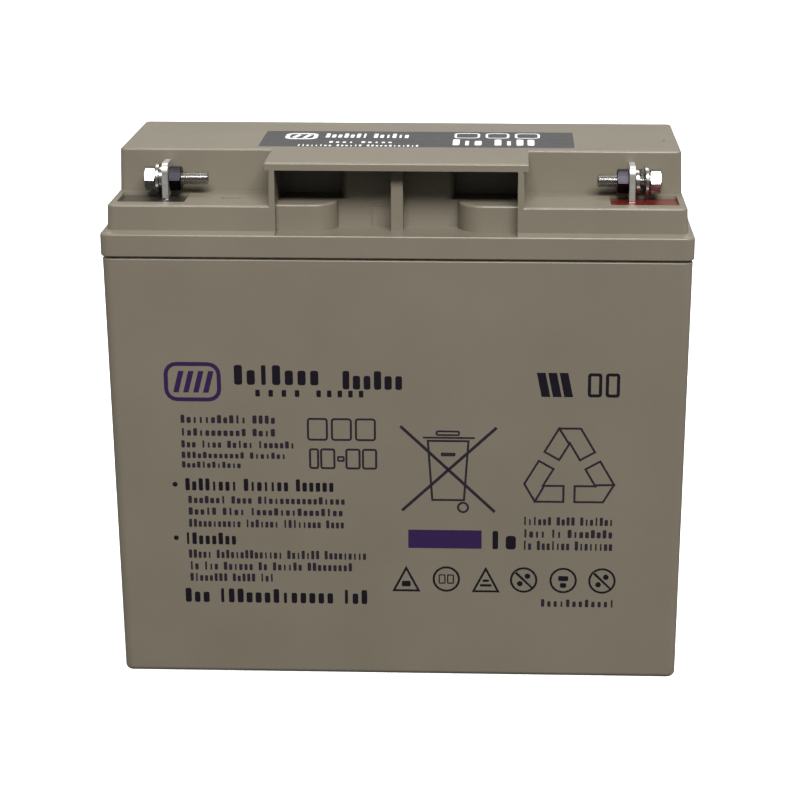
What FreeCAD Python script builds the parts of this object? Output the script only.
import FreeCAD, Part
import math
import os

from FreeCAD import Vector

# Sealed 12 V deep cycle battery of absorbent glass mat type, as an assembly of separate pieces.
#
# Frame: millimetres, +Z up. X runs along the length, with the negative terminal at -X and the
# positive terminal at +X. The terminals and the finger recess of the handle face -Y. The
# origin is the centre of the bottom face.
#
# Six cells stand in a row along X. The case has five partitions, and a lead connector is
# welded through each. The lid closes the cells and carries the terminals and six valve
# chimneys. The top cover closes the valve chamber, and its front bar is the handle.

# ---------------------------------------------------------------- overall size
LENGTH = 181.0
WIDTH = 77.0
HEIGHT = 167.0

# ---------------------------------------------------------------- case
CASE_TOP_Z = 137.4
CASE_TOP_LENGTH = 180.2
CASE_TOP_WIDTH = 76.2
CASE_DRAFT = 1.1  # each side, over the case's whole height
CASE_CORNER_R = 3.0
CASE_FOOT_R = 1.5
CASE_RIM_R = 0.35
CASE_WALL = 2.7
CASE_INNER_R = 0.5
CASE_FLOOR = 3.0
TONGUE_SET_IN = 0.9  # from the outer face of the rim
TONGUE_TOP_Z = 141.4
RING_MIN_R = 0.4  # smallest inside corner of the rings at the rim

# ---------------------------------------------------------------- cells
CELL_COUNT = 6
PARTITION_T = 1.8
CELL_INNER_LENGTH = CASE_TOP_LENGTH - 2.0 * (CASE_DRAFT + CASE_WALL)
CELL_WIDTH = (CELL_INNER_LENGTH - (CELL_COUNT - 1) * PARTITION_T) / CELL_COUNT
CELL_PITCH = CELL_WIDTH + PARTITION_T
NEGATIVE_PLATE_T = 1.9
POSITIVE_PLATE_T = 2.8
SEPARATOR_T = 0.78
POSITIVE_PLATE_COUNT = 4
PLATE_HALF_WIDTH = 32.0
PLATE_BOTTOM_Z = 6.0
PLATE_TOP_Z = 116.0
SEPARATOR_OVERLAP = 1.5  # past each edge of the plates
STRAP_Y = 20.0
STRAP_HALF_WIDTH = 6.0
STRAP_BOTTOM_Z = 120.5
STRAP_TOP_Z = 125.0
STRAP_END_GAP = 0.4
LUG_HALF_WIDTH = 4.0
RISER_T = 2.6
RISER_TOP_Z = 134.0
WELD_Z = 129.5
WELD_R = 4.0

# ---------------------------------------------------------------- lid
LID_BOTTOM_Z = 138.1
SKIRT_TOP_Z = 145.0
SKIRT_CORNER_R = 3.0
SKIRT_LOW_EDGE_R = 0.4
SKIRT_HIGH_EDGE_R = 0.7
LEDGE_WIDTH = 2.1
LEDGE_RISE = 1.0
GROOVE_CLEARANCE = 0.4  # each side of the case's tongue, filled by the sealant
GROOVE_TOP_Z = 142.0
HEADSPACE_HALF_LENGTH = 85.2
HEADSPACE_HALF_WIDTH = 33.2
HEADSPACE_TOP_Z = 151.2
HEADSPACE_CORNER_R = 1.5
TIER_TOP_Z = 153.75
TIER_CORNER_R = 2.2
TIER_EDGE_R = 0.7
FRONT_SLOPE = 0.036  # how far the lid's walls lean in for each unit of height
BLOCK_HALF_LENGTH = 87.8
BLOCK_FRONT_Y = -13.8
BLOCK_BACK_Y = 36.1
BLOCK_CORNER_R = 1.6
BLOCK_ROOT = 1.0  # how far the block starts below the shelf
BLOCK_DRAFT = 0.4  # each side, between the shelf and the top
CHAMBER_FLOOR_Z = 153.4
CHAMBER_WALL = 2.4

# ---------------------------------------------------------------- finger recess
HANDLE_HALF_LENGTH = 39.0
HANDLE_SLOPE = 0.02
HANDLE_CORNER_R = 0.5
RECESS_HALF_LENGTH = 36.8
RECESS_FLOOR_T = 2.4
POCKET_BACK_Y = -23.2
POCKET_WALL_HALF_LENGTH = 17.4  # the pocket's back wall stands full height between the bosses
POCKET_WALL_CORNER_R = 3.0
POCKET_WALL_ROOT = 6.0  # how far it runs into the block behind it
BOSS_INNER_X = 18.5
BOSS_FRONT_Y = -32.0
BOSS_CORNER_R = 8.0
BOSS_EDGE_R = 0.8
BOSS_CORE_INSET = 6.0  # keeps the hollow under the boss clear of its round corner
RIB_T = 3.6
RIB_FRONT_Y = -31.0
PAD_REACH = 6.2  # a low pad on the pocket's back wall, on the left of the rib
PAD_TOP_Z = 150.8
PAD_RISE = 0.5

# ---------------------------------------------------------------- valves
CHIMNEY_Y = 11.0
CHIMNEY_R = 5.0
CHIMNEY_BORE_R = 3.5
CHIMNEY_TOP_Z = 160.5
CAP_R = 6.75
CAP_FIT = 0.05
CAP_BOTTOM_Z = 154.6
CAP_TOP_Z = 162.6
CAP_EDGE_R = 0.6
VALVE_PAD_R = 5.0
VALVE_PAD_DROP = 1.0

# ---------------------------------------------------------------- top cover and label
COVER_BOTTOM_Z = 164.6
COVER_EDGE_R = 0.75
COVER_HALF_LENGTH = 40.05  # of the handle bar
COVER_RIM_T = 1.2
COVER_RIM_DROP = 1.5
COVER_RIM_GAP = 0.1
LABEL_X = (-44.6, 54.4)
LABEL_Y = (-9.2, 18.1)
LABEL_CORNER_R = 1.2
LABEL_POCKET_DEPTH = 0.25
LABEL_T = 0.2
LABEL_GAP = 0.1  # round the label, inside its pocket
GAS_OUTLET_X = 83.0
GAS_OUTLET_Y = 4.7
GAS_OUTLET_R = 0.6

# ---------------------------------------------------------------- terminals
WELL_X = (65.1, 85.9)
WELL_Y = (-31.1, -17.6)
WELL_CORNER_R = 1.0
WELL_FLOOR_Z = 145.5
WELL_WALL = 2.0
EPOXY_TOP_Z = 152.9
POST_X = 71.8
POST_Y = -21.5
POST_R = 2.75
POST_TOP_Z = 149.5
POST_HOLE_R = 3.05
SEAL_R = 3.8
SEAL_HEIGHT = 1.8
SEAL_EDGE_R = 0.5
FLAG_T = 1.8
FLAG_FOOT_LENGTH = 8.0
FLAG_FRONT_Y = -25.0
FLAG_STEM_BACK_Y = -18.0
FLAG_BACK_Y = -14.4
FLAG_WIDE_Z = 155.4
FLAG_TOP_Z = 164.2
FLAG_CORNER_R = 2.6
MARK_X = -51.5
MARK_Y = -24.5
MARK_LENGTH = 6.0
MARK_WIDTH = 1.8
MARK_HEIGHT = 0.3
MARK_CORNER_R = 0.85

# ---------------------------------------------------------------- terminal screws, M4 x 16
SCREW_Y = -19.6
SCREW_Z = 158.8
SCREW_R = 2.0
SCREW_LENGTH = 16.0
SCREW_TIP = 0.5
SCREW_FIT = 0.1
HEX_ACROSS_FLATS = 7.0
HEAD_HEIGHT = 3.5
NUT_HEIGHT = 3.6
NUT_FIT = 0.05
HEX_CHAMFER = 0.4
BEARING_GAP = 0.05
WASHER_R = 4.7
WASHER_T = 1.0
SPRING_WASHER_R = 3.8
SPRING_WASHER_T = 1.3
SPRING_WASHER_SLOT = 0.8
# Slack between the washers and the head: the negative screw is tight, the positive one is loose.
SLACK = {-1: 0.0, 1: 1.1}

OVERLAP = 0.5  # how far fused blocks run into each other
NEAR = 0.01  # how close two positions are to count as the same


# ---------------------------------------------------------------- shared shapes
def rounded_wire(x_range, y_range, radius, z):
    """A rectangle with rounded corners, lying flat at height z."""
    corners = [
        (x_range[1] - radius, y_range[0] + radius, -90.0),
        (x_range[1] - radius, y_range[1] - radius, 0.0),
        (x_range[0] + radius, y_range[1] - radius, 90.0),
        (x_range[0] + radius, y_range[0] + radius, 180.0),
    ]
    arcs = []
    for centre_x, centre_y, start in corners:
        points = []
        for turn in (0.0, 45.0, 90.0):
            angle = math.radians(start + turn)
            x = centre_x + radius * math.cos(angle)
            y = centre_y + radius * math.sin(angle)
            points.append(Vector(x, y, z))
        arcs.append(points)
    edges = []
    for index, points in enumerate(arcs):
        next_start = arcs[(index + 1) % len(arcs)][0]
        edges.append(Part.Arc(*points).toShape())
        edges.append(Part.makeLine(points[2], next_start))
    return Part.Wire(edges)


def prism(x_range, y_range, z_range, radius):
    """An upright block with rounded vertical corners."""
    face = Part.Face(rounded_wire(x_range, y_range, radius, z_range[0]))
    return face.extrude(Vector(0, 0, z_range[1] - z_range[0]))


def tapered(low, high, radius_low, radius_high, z_range):
    """A block with rounded corners whose outline changes from low to high."""
    bottom = rounded_wire(low[0], low[1], radius_low, z_range[0])
    top = rounded_wire(high[0], high[1], radius_high, z_range[1])
    return Part.makeLoft([bottom, top], True, True)


def box(x_range, y_range, z_range):
    """A plain block between the given limits."""
    size = (x_range[1] - x_range[0], y_range[1] - y_range[0], z_range[1] - z_range[0])
    return Part.makeBox(*size, Vector(x_range[0], y_range[0], z_range[0]))


def cylinder(radius, start, end):
    """A round bar from start to end."""
    axis = end - start
    return Part.makeCylinder(radius, axis.Length, start, axis)


def fused(shapes):
    """Join overlapping shapes into one."""
    return shapes[0].multiFuse(shapes[1:]).removeSplitter()


def edges_at(shape, z):
    """The edges that lie wholly at height z."""
    return [
        edge
        for edge in shape.Edges
        if abs(edge.BoundBox.ZMin - z) < NEAR and abs(edge.BoundBox.ZMax - z) < NEAR
    ]


def centred(half):
    """The range from -half to +half."""
    return (-half, half)


def mirrored(low, high, side):
    """The range from low to high away from the middle, on the side -1 or +1."""
    return (low, high) if side > 0 else (-high, -low)


def save(name, shape):
    """Write one node, as one solid or as a group of separate solids."""
    solids = shape.Solids
    result = solids[0] if len(solids) == 1 else Part.makeCompound(solids)
    if not result.isValid():
        raise ValueError(name + " is not a valid shape")
    result.exportStep("parts/" + name + ".step")
    print(name, len(solids), round(result.Volume / 1000.0, 3), "cm3")


# ---------------------------------------------------------------- case and sealant
def case_range(z, wall):
    """Half length and half width of the case at height z, less a wall."""
    lean = CASE_DRAFT * (CASE_TOP_Z - z) / CASE_TOP_Z
    return CASE_TOP_LENGTH / 2.0 - lean - wall, CASE_TOP_WIDTH / 2.0 - lean - wall


def case_block(z_low, z_high, wall, radius):
    """The case's tapered outline between two heights, less a wall."""
    low = [centred(half) for half in case_range(z_low, wall)]
    high = [centred(half) for half in case_range(z_high, wall)]
    return tapered(low, high, radius, radius, (z_low, z_high))


def ring(outer_set_in, inner_set_in, z_range):
    """An upright ring that follows the case's rim, set in from its outer face."""
    half_length = CASE_TOP_LENGTH / 2.0
    half_width = CASE_TOP_WIDTH / 2.0
    outer_r = CASE_CORNER_R - outer_set_in
    inner_r = max(CASE_CORNER_R - inner_set_in, RING_MIN_R)
    outer = prism(
        centred(half_length - outer_set_in), centred(half_width - outer_set_in), z_range, outer_r
    )
    inner = prism(
        centred(half_length - inner_set_in), centred(half_width - inner_set_in), z_range, inner_r
    )
    return outer.cut(inner)


def partition_x(index):
    """Middle of the partition between cell index and the next one."""
    return (index + 1 - CELL_COUNT / 2.0) * CELL_PITCH


def weld_y(index):
    """The intercell welds lie at the back and at the front in turn."""
    return STRAP_Y if index % 2 == 0 else -STRAP_Y


def make_tongue():
    """The rim that stands up from the case's wall into the lid's groove."""
    return ring(TONGUE_SET_IN, CASE_WALL, (CASE_TOP_Z - OVERLAP, TONGUE_TOP_Z))


def make_case():
    outer = case_block(0.0, CASE_TOP_Z, 0.0, CASE_CORNER_R)
    outer = outer.makeFillet(CASE_FOOT_R, edges_at(outer, 0.0))
    outer = outer.makeFillet(CASE_RIM_R, edges_at(outer, CASE_TOP_Z))
    inner = case_block(CASE_FLOOR, CASE_TOP_Z + OVERLAP, CASE_WALL, CASE_INNER_R)
    shell = outer.cut(inner)
    half_width = case_range(CASE_TOP_Z, CASE_WALL)[1]
    pieces = [shell, make_tongue()]
    for index in range(CELL_COUNT - 1):
        middle = partition_x(index)
        x_range = (middle - PARTITION_T / 2.0, middle + PARTITION_T / 2.0)
        wall = box(x_range, centred(half_width + OVERLAP), (CASE_FLOOR - OVERLAP, LID_BOTTOM_Z))
        start = Vector(x_range[0], weld_y(index), WELD_Z)
        wall = wall.cut(cylinder(WELD_R, start, Vector(x_range[1], weld_y(index), WELD_Z)))
        pieces.append(wall)
    return fused(pieces)


def make_lid_sealant():
    outside = TONGUE_SET_IN - GROOVE_CLEARANCE
    groove = ring(outside, CASE_WALL + GROOVE_CLEARANCE, (LID_BOTTOM_Z, GROOVE_TOP_Z))
    slit = ring(outside, TONGUE_SET_IN, (CASE_TOP_Z, LID_BOTTOM_Z))
    return fused([groove.cut(make_tongue()), slit])


# ---------------------------------------------------------------- lid
def front_y(z):
    """The lid's front wall and the front of the handle are one leaning plane."""
    return -(WIDTH / 2.0 - LEDGE_WIDTH) + FRONT_SLOPE * (z - SKIRT_TOP_Z)


def tier_ranges(z):
    """The lower step of the lid at height z."""
    half_width = -front_y(z)
    half_length = half_width + (LENGTH - WIDTH) / 2.0
    return centred(half_length), centred(half_width)


def block_ranges(z):
    """The upper step of the lid, and the cover above it, at height z."""
    lean = BLOCK_DRAFT * (z - TIER_TOP_Z) / (HEIGHT - TIER_TOP_Z)
    return centred(BLOCK_HALF_LENGTH - lean), (BLOCK_FRONT_Y + lean, BLOCK_BACK_Y - lean)


def handle_ranges(z):
    """The two posts of the handle, from outside to outside, at height z."""
    half_length = HANDLE_HALF_LENGTH - HANDLE_SLOPE * (z - SKIRT_TOP_Z)
    return centred(half_length), (front_y(z), BLOCK_FRONT_Y + CHAMBER_WALL / 2.0)


def make_lid_outside():
    skirt = prism(
        centred(LENGTH / 2.0), centred(WIDTH / 2.0), (LID_BOTTOM_Z, SKIRT_TOP_Z), SKIRT_CORNER_R
    )
    skirt = skirt.makeFillet(SKIRT_LOW_EDGE_R, edges_at(skirt, LID_BOTTOM_Z))
    ledge_top = SKIRT_TOP_Z + LEDGE_RISE
    ledge = tapered(
        (centred(LENGTH / 2.0), centred(WIDTH / 2.0)),
        tier_ranges(ledge_top),
        SKIRT_CORNER_R,
        TIER_CORNER_R,
        (SKIRT_TOP_Z, ledge_top),
    )
    collar = fused([skirt, ledge])
    collar = collar.makeFillet(SKIRT_HIGH_EDGE_R, edges_at(collar, SKIRT_TOP_Z))
    tier = tapered(
        tier_ranges(SKIRT_TOP_Z), tier_ranges(TIER_TOP_Z), TIER_CORNER_R, TIER_CORNER_R,
        (SKIRT_TOP_Z, TIER_TOP_Z),
    )
    tier = tier.makeFillet(TIER_EDGE_R, edges_at(tier, TIER_TOP_Z))
    block_bottom = TIER_TOP_Z - BLOCK_ROOT
    block = tapered(
        block_ranges(block_bottom), block_ranges(COVER_BOTTOM_Z), BLOCK_CORNER_R, BLOCK_CORNER_R,
        (block_bottom, COVER_BOTTOM_Z),
    )
    handle = tapered(
        handle_ranges(SKIRT_TOP_Z), handle_ranges(COVER_BOTTOM_Z), HANDLE_CORNER_R,
        HANDLE_CORNER_R, (SKIRT_TOP_Z, COVER_BOTTOM_Z),
    )
    return fused([collar, tier, block, handle])


def make_recess():
    """The space for the fingers: a low pocket in front, and deeper spaces over the bosses."""
    front = -WIDTH / 2.0 - OVERLAP
    pocket = box(
        centred(RECESS_HALF_LENGTH), (front, POCKET_BACK_Y), (SKIRT_TOP_Z, COVER_BOTTOM_Z)
    )
    deep = box(
        centred(RECESS_HALF_LENGTH), (front, BLOCK_FRONT_Y), (CHAMBER_FLOOR_Z, COVER_BOTTOM_Z)
    )
    return fused([pocket, deep.cut(make_pocket_wall(0.0))])


def make_pocket_wall(wall):
    """The round-cornered block behind the pocket, or, less a wall, the hollow inside it."""
    return prism(
        centred(POCKET_WALL_HALF_LENGTH - wall),
        (POCKET_BACK_Y + wall, BLOCK_FRONT_Y + POCKET_WALL_ROOT),
        (CHAMBER_FLOOR_Z, COVER_BOTTOM_Z),
        POCKET_WALL_CORNER_R - wall,
    )


def make_boss(side):
    """A raised step beside each post, with a round corner towards the middle."""
    x_range = mirrored(BOSS_INNER_X, RECESS_HALF_LENGTH + OVERLAP, side)
    z_range = (SKIRT_TOP_Z - OVERLAP, CHAMBER_FLOOR_Z)
    block = box(x_range, (BOSS_FRONT_Y, POCKET_BACK_Y + OVERLAP), z_range)
    corner = side * BOSS_INNER_X
    upright = [
        edge
        for edge in block.Edges
        if edge.BoundBox.ZLength > BOSS_EDGE_R
        and abs(edge.CenterOfMass.x - corner) < NEAR
        and abs(edge.CenterOfMass.y - BOSS_FRONT_Y) < NEAR
    ]
    block = block.makeFillet(BOSS_CORNER_R, upright)
    rim = [
        edge
        for edge in edges_at(block, CHAMBER_FLOOR_Z)
        if edge.CenterOfMass.y < POCKET_BACK_Y
        and abs(edge.CenterOfMass.x) < RECESS_HALF_LENGTH
    ]
    return block.makeFillet(BOSS_EDGE_R, rim)


def make_rib():
    """The upright wall that halves the recess, and the low pad beside its root."""
    z_range = (SKIRT_TOP_Z - OVERLAP, COVER_BOTTOM_Z)
    rib = box(centred(RIB_T / 2.0), (RIB_FRONT_Y, BLOCK_FRONT_Y + OVERLAP), z_range)
    pad = box(
        (-RIB_T / 2.0 - PAD_REACH, 0.0),
        (POCKET_BACK_Y - PAD_RISE, POCKET_BACK_Y + OVERLAP),
        (z_range[0], PAD_TOP_Z),
    )
    return fused([rib, pad])


def make_headspace():
    """The hollow of the lid over the cells, less the walls of the recess and the wells."""
    space = prism(
        centred(HEADSPACE_HALF_LENGTH), centred(HEADSPACE_HALF_WIDTH),
        (LID_BOTTOM_Z, HEADSPACE_TOP_Z), HEADSPACE_CORNER_R,
    )
    wall = CHAMBER_WALL
    solid_front = box(
        centred(HANDLE_HALF_LENGTH + OVERLAP),
        (-WIDTH, POCKET_BACK_Y + wall),
        (SKIRT_TOP_Z - RECESS_FLOOR_T, HEIGHT),
    )
    space = space.cut(solid_front)
    for side in (-1, 1):
        boss_core = box(
            mirrored(BOSS_INNER_X + BOSS_CORE_INSET, RECESS_HALF_LENGTH - wall, side),
            (BOSS_FRONT_Y + wall, POCKET_BACK_Y + wall + OVERLAP),
            (SKIRT_TOP_Z - RECESS_FLOOR_T - OVERLAP, HEADSPACE_TOP_Z),
        )
        well_walls = box(
            mirrored(WELL_X[0] - WELL_WALL, LENGTH / 2.0, side),
            (-WIDTH, WELL_Y[1] + WELL_WALL),
            (WELL_FLOOR_Z - WELL_WALL, HEIGHT),
        )
        space = space.fuse(boss_core).cut(well_walls)
    for index in range(CELL_COUNT - 1):
        middle = partition_x(index)
        rib = box(
            (middle - PARTITION_T / 2.0, middle + PARTITION_T / 2.0),
            centred(WIDTH),
            (LID_BOTTOM_Z - OVERLAP, HEIGHT),
        )
        space = space.cut(rib)
    return space


def cell_x(index):
    """Middle of a cell along the length."""
    return (index - (CELL_COUNT - 1) / 2.0) * CELL_PITCH


def make_lid():
    lid = make_lid_outside()
    lid = lid.cut(make_recess())
    lid = fused([lid, make_boss(-1), make_boss(1), make_rib()])
    chamber = prism(
        centred(BLOCK_HALF_LENGTH - CHAMBER_WALL - BLOCK_DRAFT),
        (BLOCK_FRONT_Y + CHAMBER_WALL, BLOCK_BACK_Y - CHAMBER_WALL - BLOCK_DRAFT),
        (CHAMBER_FLOOR_Z, HEIGHT),
        BLOCK_CORNER_R,
    )
    lid = lid.cut(chamber)
    lid = lid.cut(make_pocket_wall(CHAMBER_WALL))
    lid = lid.cut(make_headspace())
    groove = ring(
        TONGUE_SET_IN - GROOVE_CLEARANCE, CASE_WALL + GROOVE_CLEARANCE,
        (LID_BOTTOM_Z - OVERLAP, GROOVE_TOP_Z),
    )
    lid = lid.cut(groove)
    for index in range(CELL_COUNT):
        foot = Vector(cell_x(index), CHIMNEY_Y, HEADSPACE_TOP_Z + OVERLAP)
        top = Vector(cell_x(index), CHIMNEY_Y, CHIMNEY_TOP_Z)
        lid = lid.fuse(cylinder(CHIMNEY_R, foot, top))
        below = Vector(cell_x(index), CHIMNEY_Y, LID_BOTTOM_Z)
        lid = lid.cut(cylinder(CHIMNEY_BORE_R, below, top + Vector(0, 0, OVERLAP)))
    for side in (-1, 1):
        well = prism(mirrored(*WELL_X, side), WELL_Y, (WELL_FLOOR_Z, HEIGHT), WELL_CORNER_R)
        lid = lid.cut(well.common(box(centred(LENGTH), (-WIDTH, BLOCK_FRONT_Y), (0, HEIGHT))))
        post_low = Vector(side * POST_X, POST_Y, LID_BOTTOM_Z)
        post_high = Vector(side * POST_X, POST_Y, WELL_FLOOR_Z + OVERLAP)
        lid = lid.cut(cylinder(POST_HOLE_R, post_low, post_high))
    mark = prism(
        (MARK_X - MARK_LENGTH / 2.0, MARK_X + MARK_LENGTH / 2.0),
        (MARK_Y - MARK_WIDTH / 2.0, MARK_Y + MARK_WIDTH / 2.0),
        (TIER_TOP_Z - OVERLAP, TIER_TOP_Z + MARK_HEIGHT),
        MARK_CORNER_R,
    )
    return fused([lid, mark])


# ---------------------------------------------------------------- valves
def make_vent_cap(index):
    """A rubber cap that sits on its chimney and lifts when the cell has to vent."""
    foot = Vector(cell_x(index), CHIMNEY_Y, CAP_BOTTOM_Z)
    top = Vector(cell_x(index), CHIMNEY_Y, CAP_TOP_Z)
    cap = cylinder(CAP_R, foot, top)
    cap = cap.makeFillet(CAP_EDGE_R, edges_at(cap, CAP_TOP_Z))
    seat = Vector(cell_x(index), CHIMNEY_Y, CHIMNEY_TOP_Z + BEARING_GAP)
    return cap.cut(cylinder(CHIMNEY_R + CAP_FIT, foot - Vector(0, 0, OVERLAP), seat))


# ---------------------------------------------------------------- top cover and label
def make_top_cover():
    plate = tapered(
        block_ranges(COVER_BOTTOM_Z), block_ranges(HEIGHT), BLOCK_CORNER_R, BLOCK_CORNER_R,
        (COVER_BOTTOM_Z, HEIGHT),
    )
    bar = tapered(
        (centred(COVER_HALF_LENGTH), (front_y(COVER_BOTTOM_Z), BLOCK_FRONT_Y + CHAMBER_WALL)),
        (centred(COVER_HALF_LENGTH), (front_y(HEIGHT), BLOCK_FRONT_Y + CHAMBER_WALL)),
        HANDLE_CORNER_R,
        HANDLE_CORNER_R,
        (COVER_BOTTOM_Z, HEIGHT),
    )
    cover = fused([plate, bar])
    cover = cover.makeFillet(COVER_EDGE_R, edges_at(cover, HEIGHT))
    pocket = prism(LABEL_X, LABEL_Y, (HEIGHT - LABEL_POCKET_DEPTH, HEIGHT + OVERLAP), LABEL_CORNER_R)
    cover = cover.cut(pocket)
    inset = CHAMBER_WALL + BLOCK_DRAFT + COVER_RIM_GAP
    rim_x = BLOCK_HALF_LENGTH - inset
    rim_y = (BLOCK_FRONT_Y + CHAMBER_WALL + COVER_RIM_GAP, BLOCK_BACK_Y - inset)
    rim_z = (COVER_BOTTOM_Z - COVER_RIM_DROP, COVER_BOTTOM_Z + OVERLAP)
    rim = prism(centred(rim_x), rim_y, rim_z, BLOCK_CORNER_R)
    inside_y = (rim_y[0] + COVER_RIM_T, rim_y[1] - COVER_RIM_T)
    rim = rim.cut(prism(centred(rim_x - COVER_RIM_T), inside_y, rim_z, BLOCK_CORNER_R / 2.0))
    pieces = [cover, rim]
    for index in range(CELL_COUNT):
        low = Vector(cell_x(index), CHIMNEY_Y, COVER_BOTTOM_Z - VALVE_PAD_DROP)
        high = Vector(cell_x(index), CHIMNEY_Y, COVER_BOTTOM_Z + OVERLAP)
        pieces.append(cylinder(VALVE_PAD_R, low, high))
    cover = fused(pieces)
    outlet_low = Vector(GAS_OUTLET_X, GAS_OUTLET_Y, COVER_BOTTOM_Z - OVERLAP)
    outlet_high = Vector(GAS_OUTLET_X, GAS_OUTLET_Y, HEIGHT + OVERLAP)
    return cover.cut(cylinder(GAS_OUTLET_R, outlet_low, outlet_high))


def make_top_label():
    bottom = HEIGHT - LABEL_POCKET_DEPTH
    return prism(
        (LABEL_X[0] + LABEL_GAP, LABEL_X[1] - LABEL_GAP),
        (LABEL_Y[0] + LABEL_GAP, LABEL_Y[1] - LABEL_GAP),
        (bottom, bottom + LABEL_T),
        LABEL_CORNER_R - LABEL_GAP,
    )


# ---------------------------------------------------------------- cells
def plate_layout(index):
    """Low and high X of each negative plate, positive plate and separator of a cell."""
    negative_count = POSITIVE_PLATE_COUNT + 1
    separator_count = 2 * POSITIVE_PLATE_COUNT
    stack = negative_count * NEGATIVE_PLATE_T + POSITIVE_PLATE_COUNT * POSITIVE_PLATE_T
    stack += separator_count * SEPARATOR_T
    x = cell_x(index) - stack / 2.0
    negatives = []
    positives = []
    separators = []
    for place in range(negative_count + POSITIVE_PLATE_COUNT):
        is_negative = place % 2 == 0
        thickness = NEGATIVE_PLATE_T if is_negative else POSITIVE_PLATE_T
        target = negatives if is_negative else positives
        target.append((x, x + thickness))
        x += thickness
        if len(separators) < separator_count:
            separators.append((x, x + SEPARATOR_T))
            x += SEPARATOR_T
    return negatives, positives, separators


def make_plate_group(plates, strap_x, strap_y):
    """Plates of one polarity, with their lugs and the strap cast onto them."""
    pieces = []
    for x_range in plates:
        pieces.append(box(x_range, centred(PLATE_HALF_WIDTH), (PLATE_BOTTOM_Z, PLATE_TOP_Z)))
        lug_y = (strap_y - LUG_HALF_WIDTH, strap_y + LUG_HALF_WIDTH)
        pieces.append(box(x_range, lug_y, (PLATE_TOP_Z - OVERLAP, STRAP_BOTTOM_Z + OVERLAP)))
    bar_y = (strap_y - STRAP_HALF_WIDTH, strap_y + STRAP_HALF_WIDTH)
    pieces.append(box(strap_x, bar_y, (STRAP_BOTTOM_Z, STRAP_TOP_Z)))
    return fused(pieces)


def make_cell(index):
    """The positive group, the negative group and the separators of one cell."""
    negatives, positives, separators = plate_layout(index)
    low_end = cell_x(index) - CELL_WIDTH / 2.0 + STRAP_END_GAP
    high_end = cell_x(index) + CELL_WIDTH / 2.0 - STRAP_END_GAP
    positive_y = weld_y(index)
    positive = make_plate_group(positives, (positives[0][0], high_end), positive_y)
    negative = make_plate_group(negatives, (low_end, negatives[-1][1]), -positive_y)
    sheets = []
    for x_range in separators:
        y_range = centred(PLATE_HALF_WIDTH + SEPARATOR_OVERLAP)
        z_range = (PLATE_BOTTOM_Z - SEPARATOR_OVERLAP, PLATE_TOP_Z + SEPARATOR_OVERLAP)
        sheets.append(box(x_range, y_range, z_range))
    return positive, negative, Part.makeCompound(sheets)


def make_intercell_connector(index):
    """Two risers on neighbouring straps, welded together through the partition."""
    middle = partition_x(index)
    y_range = (weld_y(index) - STRAP_HALF_WIDTH, weld_y(index) + STRAP_HALF_WIDTH)
    near = PARTITION_T / 2.0
    far = near + RISER_T
    risers = [
        box((middle - far, middle - near), y_range, (STRAP_TOP_Z, RISER_TOP_Z)),
        box((middle + near, middle + far), y_range, (STRAP_TOP_Z, RISER_TOP_Z)),
    ]
    start = Vector(middle - near - OVERLAP, weld_y(index), WELD_Z)
    weld = cylinder(WELD_R, start, Vector(middle + near + OVERLAP, weld_y(index), WELD_Z))
    return fused(risers + [weld])


# ---------------------------------------------------------------- terminals
def make_post(side):
    """The lead post from the end cell's strap up into the terminal well."""
    start = Vector(side * POST_X, POST_Y, STRAP_TOP_Z)
    return cylinder(POST_R, start, Vector(side * POST_X, POST_Y, POST_TOP_Z))


def make_post_seal(side):
    """The rubber ring round the post, on the floor of the well."""
    start = Vector(side * POST_X, POST_Y, WELL_FLOOR_Z)
    end = start + Vector(0, 0, SEAL_HEIGHT)
    seal = cylinder(SEAL_R, start, end)
    seal = seal.makeFillet(SEAL_EDGE_R, edges_at(seal, WELL_FLOOR_Z) + edges_at(seal, end.z))
    return seal.cut(cylinder(POST_R, start, end))


def make_flag(side):
    """The tinned terminal: a foot on the post, a stem, and an upright flag with a hole."""
    x_low = POST_X - FLAG_T / 2.0
    x_high = POST_X + FLAG_T / 2.0
    foot_x = (POST_X - FLAG_FOOT_LENGTH / 2.0, POST_X + FLAG_FOOT_LENGTH / 2.0)
    stem_y = (FLAG_FRONT_Y, FLAG_STEM_BACK_Y)
    foot_z = (POST_TOP_Z, POST_TOP_Z + FLAG_T)
    foot = box(mirrored(*foot_x, side), stem_y, foot_z)
    stem = box(mirrored(x_low, x_high, side), stem_y, (foot_z[0], FLAG_WIDE_Z + OVERLAP))
    plate = box(
        mirrored(x_low, x_high, side), (FLAG_FRONT_Y, FLAG_BACK_Y), (FLAG_WIDE_Z, FLAG_TOP_Z)
    )
    upper = [
        edge
        for edge in edges_at(plate, FLAG_TOP_Z)
        if edge.BoundBox.XLength > FLAG_T / 2.0
    ]
    plate = plate.makeFillet(FLAG_CORNER_R, upper)
    flag = fused([foot, stem, plate])
    return flag.cut(screw_bar(side, x_low - OVERLAP, x_high + OVERLAP, SCREW_R + SCREW_FIT))


def make_epoxy(side):
    """The resin that fills the well over the seal and holds the terminal."""
    resin = prism(mirrored(*WELL_X, side), WELL_Y, (WELL_FLOOR_Z, EPOXY_TOP_Z), WELL_CORNER_R)
    for piece in (make_post(side), make_post_seal(side), make_flag(side)):
        resin = resin.cut(piece)
    return resin


# ---------------------------------------------------------------- terminal screws
def screw_bar(side, x_low, x_high, radius):
    """A round bar on the screw's axis, between two distances from the middle."""
    start = Vector(side * x_low, SCREW_Y, SCREW_Z)
    return cylinder(radius, start, Vector(side * x_high, SCREW_Y, SCREW_Z))


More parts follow.
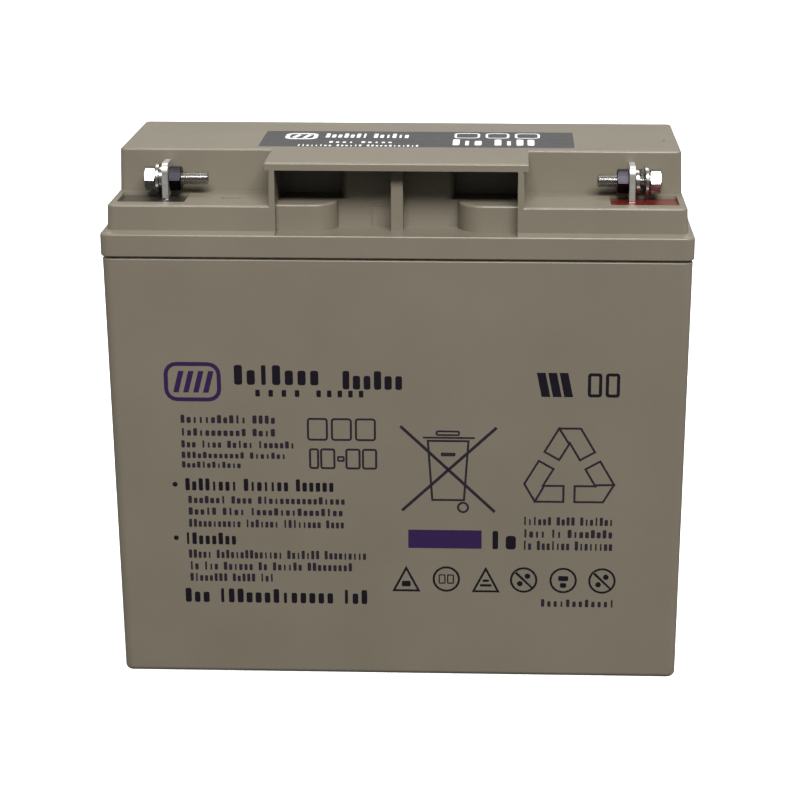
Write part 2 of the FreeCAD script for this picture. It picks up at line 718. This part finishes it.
def hexagon(side, x_low, x_high, chamfers):
    """A hexagon on the screw's axis, its corners chamfered at the named ends."""
    corner_r = HEX_ACROSS_FLATS / math.sqrt(3.0)
    points = []
    for corner in range(7):
        angle = math.radians(60.0 * corner)
        y = SCREW_Y + corner_r * math.cos(angle)
        z = SCREW_Z + corner_r * math.sin(angle)
        points.append(Vector(side * x_low, y, z))
    prism_hex = Part.Face(Part.makePolygon(points)).extrude(Vector(side * (x_high - x_low), 0, 0))
    start = Vector(side * x_low, SCREW_Y, SCREW_Z)
    envelope = Part.makeCylinder(corner_r, x_high - x_low, start, Vector(side, 0, 0))
    ends = [
        edge
        for edge in envelope.Edges
        if edge.BoundBox.XLength < NEAR
        and any(abs(edge.CenterOfMass.x - side * end) < NEAR for end in chamfers)
    ]
    return prism_hex.common(envelope.makeChamfer(HEX_CHAMFER, ends))


def head_x(side):
    """Distance from the middle to the underside of the screw's head."""
    washers = SPRING_WASHER_T + WASHER_T
    return POST_X + FLAG_T / 2.0 + washers + 2.0 * SLACK[side] + BEARING_GAP


def make_bolt(side):
    low = head_x(side)
    high = low + HEAD_HEIGHT
    tip = low - SCREW_LENGTH
    head = hexagon(side, low, high, [high])
    shank = screw_bar(side, tip, low + OVERLAP, SCREW_R)
    tip_edge = [
        edge
        for edge in shank.Edges
        if abs(edge.CenterOfMass.x - side * tip) < NEAR and edge.BoundBox.XLength < NEAR
    ]
    return fused([head, shank.makeChamfer(SCREW_TIP, tip_edge)])


def make_nut(side):
    high = POST_X - FLAG_T / 2.0 - BEARING_GAP
    low = high - NUT_HEIGHT
    nut = hexagon(side, low, high, [low, high])
    return nut.cut(screw_bar(side, low - OVERLAP, high + OVERLAP, SCREW_R + NUT_FIT))


def washer_ring(side, low, thickness, radius):
    """A flat ring on the screw's axis."""
    outside = screw_bar(side, low, low + thickness, radius)
    return outside.cut(screw_bar(side, low, low + thickness, SCREW_R + SCREW_FIT))


def make_spring_washer(side):
    low = POST_X + FLAG_T / 2.0 + SLACK[side] / 2.0
    washer = washer_ring(side, low, SPRING_WASHER_T, SPRING_WASHER_R)
    x_range = mirrored(low - OVERLAP, low + SPRING_WASHER_T + OVERLAP, side)
    slot = box(x_range, (SCREW_Y, SCREW_Y + SPRING_WASHER_SLOT), (SCREW_Z, HEIGHT))
    return washer.cut(slot)


def make_flat_washer(side):
    low = POST_X + FLAG_T / 2.0 + SPRING_WASHER_T + 1.5 * SLACK[side]
    return washer_ring(side, low, WASHER_T, WASHER_R)


# ---------------------------------------------------------------- the assembly
def main():
    os.makedirs("parts", exist_ok=True)
    save("case", make_case())
    save("lid_sealant", make_lid_sealant())
    save("lid", make_lid())
    save("top_cover", make_top_cover())
    save("top_label", make_top_label())
    for index in range(CELL_COUNT):
        number = str(index + 1)
        positive, negative, separators = make_cell(index)
        save("vent_cap_" + number, make_vent_cap(index))
        save("cell_" + number + "_positive_plates", positive)
        save("cell_" + number + "_negative_plates", negative)
        save("cell_" + number + "_separators", separators)
    for index in range(CELL_COUNT - 1):
        save("intercell_connector_" + str(index + 1), make_intercell_connector(index))
    for side, polarity in ((-1, "negative"), (1, "positive")):
        save(polarity + "_post", make_post(side))
        save(polarity + "_post_seal", make_post_seal(side))
        save(polarity + "_terminal", make_flag(side))
        save(polarity + "_terminal_resin", make_epoxy(side))
        save(polarity + "_bolt", make_bolt(side))
        save(polarity + "_nut", make_nut(side))
        save(polarity + "_flat_washer", make_flat_washer(side))
        save(polarity + "_spring_washer", make_spring_washer(side))


main()
